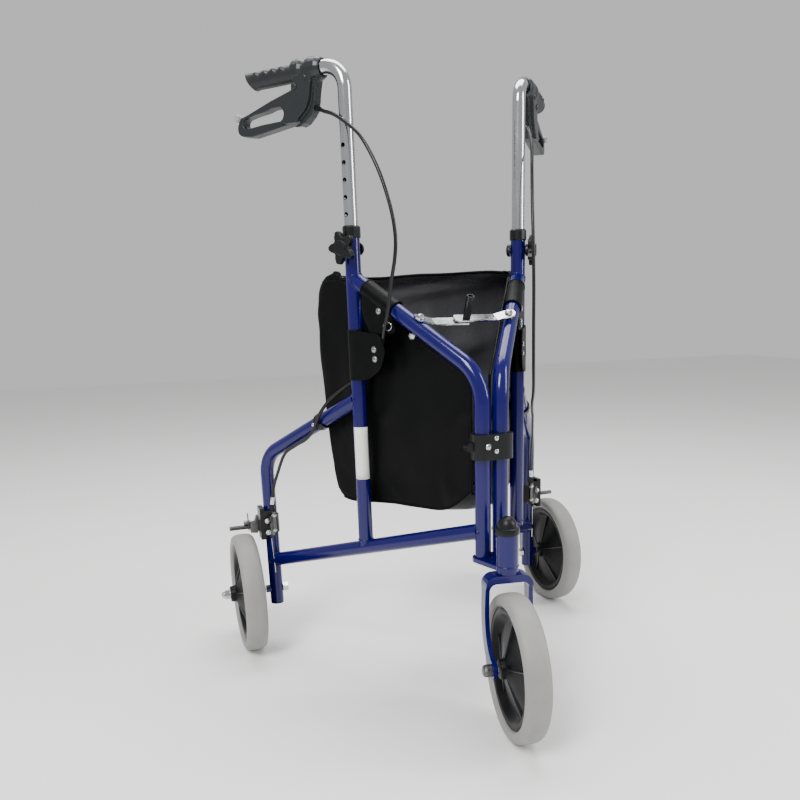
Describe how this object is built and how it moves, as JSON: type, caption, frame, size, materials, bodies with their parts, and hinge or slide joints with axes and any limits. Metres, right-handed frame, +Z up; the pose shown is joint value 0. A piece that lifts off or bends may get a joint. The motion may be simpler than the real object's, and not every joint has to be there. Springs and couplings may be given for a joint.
{
  "type": "rollator walker",
  "caption": "Folding tri-wheel walking frame: blue tubular side frames on a caster head, height-adjustable handles with loop brakes, grey solid tyres and a black tote bag.",
  "frame": {"origin": "on the floor, at the centre of the bounding box's bottom face", "axes": "+Z up; the caster leads towards -Y, the user stands at +Y; X lateral, left frame at -X"},
  "size_m": [0.6724, 0.6434, 0.8892],
  "materials": {
    "frame_paint": "glossy royal-blue powder coat",
    "chrome": "bright polished plating",
    "zinc_steel": "bright zinc plating",
    "black_plastic": "satin black moulding",
    "wheel_plastic": "glossy black moulding",
    "grey_tyre": "matte warm-grey solid tyre",
    "grip_rubber": "matte black moulded grip",
    "bag_vinyl": "black coated cloth with a faint sheen"
  },
  "bodies": {
    "head": {"caster_head": "frame_paint", "head_cap": "black_plastic", "frame_clamp": "black_plastic", "clamp_bolt": "zinc_steel", "bag": "bag_vinyl"},
    "caster": {"caster_fork": "frame_paint", "stem_nut": "zinc_steel", "front_axle": "zinc_steel", "axle_cap_left": "black_plastic", "axle_cap_right": "black_plastic"},
    "front_wheel": {"wheel_front": "wheel_plastic", "tyre_front": "grey_tyre"},
    "frame_left": {"front_tube_left": "frame_paint", "upright_left": "frame_paint", "lower_tube_left": "frame_paint", "rear_leg_left": "frame_paint", "collar_left": "black_plastic", "knob_nut_left": "black_plastic", "cable_clip_left": "black_plastic", "brake_bracket_left": "black_plastic", "rear_axle_left": "zinc_steel", "axle_nut_left": "zinc_steel", "link_bolt_left": "zinc_steel", "bag_sleeve_left": "bag_vinyl", "brake_cable_left": "black_plastic"},
    "knob_left": {"height_knob_left": "black_plastic"},
    "handle_left": {"handle_tube_left": "chrome", "grip_left": "grip_rubber", "brake_housing_left": "black_plastic", "lever_pin_left": "zinc_steel"},
    "lever_left": {"brake_lever_left": "black_plastic"},
    "brake_arm_left": {"brake_arm_left": "black_plastic"},
    "rear_wheel_left": {"wheel_rear_left": "wheel_plastic", "tyre_rear_left": "grey_tyre"},
    "link_left": {"link_bar_left": "chrome"},
    "frame_right": {"front_tube_right": "frame_paint", "upright_right": "frame_paint", "lower_tube_right": "frame_paint", "rear_leg_right": "frame_paint", "collar_right": "black_plastic", "knob_nut_right": "black_plastic", "cable_clip_right": "black_plastic", "brake_bracket_right": "black_plastic", "rear_axle_right": "zinc_steel", "axle_nut_right": "zinc_steel", "link_bolt_right": "zinc_steel", "bag_sleeve_right": "bag_vinyl", "brake_cable_right": "black_plastic"},
    "knob_right": {"height_knob_right": "black_plastic"},
    "handle_right": {"handle_tube_right": "chrome", "grip_right": "grip_rubber", "brake_housing_right": "black_plastic", "lever_pin_right": "zinc_steel"},
    "lever_right": {"brake_lever_right": "black_plastic"},
    "brake_arm_right": {"brake_arm_right": "black_plastic"},
    "rear_wheel_right": {"wheel_rear_right": "wheel_plastic", "tyre_rear_right": "grey_tyre"},
    "link_right": {"link_bar_right": "chrome", "link_peg": "black_plastic"}
  },
  "joints": [
    {"name": "caster_swivel", "type": "hinge", "parent": "head", "child": "caster", "pos_m": [0, -0.1816, 0.25], "axis": [0, 0, 1], "continuous": true},
    {"name": "front_wheel_spin", "type": "hinge", "parent": "caster", "child": "front_wheel", "pos_m": [-0.00641, -0.22209, 0.09952], "axis": [0.9877, -0.1564, 0], "continuous": true},
    {"name": "fold_left", "type": "hinge", "parent": "head", "child": "frame_left", "pos_m": [-0.013, -0.1331, 0.24], "axis": [0, 0, -1], "range_deg": [0, 24], "deforming": ["bag"]},
    {"name": "link_left_pivot", "type": "hinge", "parent": "frame_left", "child": "link_left", "pos_m": [-0.06614, -0.05127, 0.54759], "axis": [0.2821, -0.4345, 0.8554], "range_deg": [0, 86.4]},
    {"name": "knob_left_turn", "type": "hinge", "parent": "frame_left", "child": "knob_left", "pos_m": [-0.12901, 0.04554, 0.6425], "axis": [-0.8387, -0.5446, 0], "continuous": true},
    {"name": "height_left", "type": "slide", "parent": "frame_left", "child": "handle_left", "axis": [0, 0, 1], "range_m": [-0.1308, 0.0218], "deforming": ["brake_cable_left"]},
    {"name": "lever_left_squeeze", "type": "hinge", "parent": "handle_left", "child": "lever_left", "pos_m": [-0.17506, 0.10448, 0.8533], "axis": [0.788, 0.6157, 0], "range_deg": [0, 14], "stiffness_Nm_per_rad": 1.5, "springref_deg": -8.59},
    {"name": "brake_left_press", "type": "hinge", "parent": "frame_left", "child": "brake_arm_left", "pos_m": [-0.25993, 0.245, 0.22], "axis": [0, -1, 0], "range_deg": [0, 5.6]},
    {"name": "rear_wheel_left_spin", "type": "hinge", "parent": "frame_left", "child": "rear_wheel_left", "pos_m": [-0.2915, 0.2225, 0.09952], "axis": [1, 0, 0], "continuous": true},
    {"name": "fold_right", "type": "hinge", "parent": "head", "child": "frame_right", "pos_m": [0.013, -0.1331, 0.24], "axis": [0, 0, 1], "range_deg": [0, 24], "deforming": ["bag"]},
    {"name": "link_right_pivot", "type": "hinge", "parent": "frame_right", "child": "link_right", "pos_m": [0.06496, -0.05309, 0.55119], "axis": [0.2821, 0.4345, -0.8554], "range_deg": [0, 86.4]},
    {"name": "knob_right_turn", "type": "hinge", "parent": "frame_right", "child": "knob_right", "pos_m": [0.12901, 0.04554, 0.6425], "axis": [0.8387, -0.5446, 0], "continuous": true},
    {"name": "height_right", "type": "slide", "parent": "frame_right", "child": "handle_right", "axis": [0, 0, 1], "range_m": [-0.1308, 0.0218], "deforming": ["brake_cable_right"]},
    {"name": "lever_right_squeeze", "type": "hinge", "parent": "handle_right", "child": "lever_right", "pos_m": [0.17506, 0.10448, 0.8533], "axis": [0.788, -0.6157, 0], "range_deg": [0, 14], "stiffness_Nm_per_rad": 1.5, "springref_deg": -8.59},
    {"name": "brake_right_press", "type": "hinge", "parent": "frame_right", "child": "brake_arm_right", "pos_m": [0.25993, 0.245, 0.22], "axis": [0, 1, 0], "range_deg": [0, 5.6]},
    {"name": "rear_wheel_right_spin", "type": "hinge", "parent": "frame_right", "child": "rear_wheel_right", "pos_m": [0.2915, 0.2225, 0.09952], "axis": [1, 0, 0], "continuous": true}
  ],
  "couplings": [
    {"joint": "fold_right", "follows": "fold_left", "ratio": 1},
    {"joint": "link_left_pivot", "follows": "fold_left", "ratio": 3.6},
    {"joint": "link_right_pivot", "follows": "fold_left", "ratio": 3.6},
    {"joint": "brake_left_press", "follows": "lever_left_squeeze", "ratio": 0.4},
    {"joint": "brake_right_press", "follows": "lever_right_squeeze", "ratio": 0.4}
  ]
}
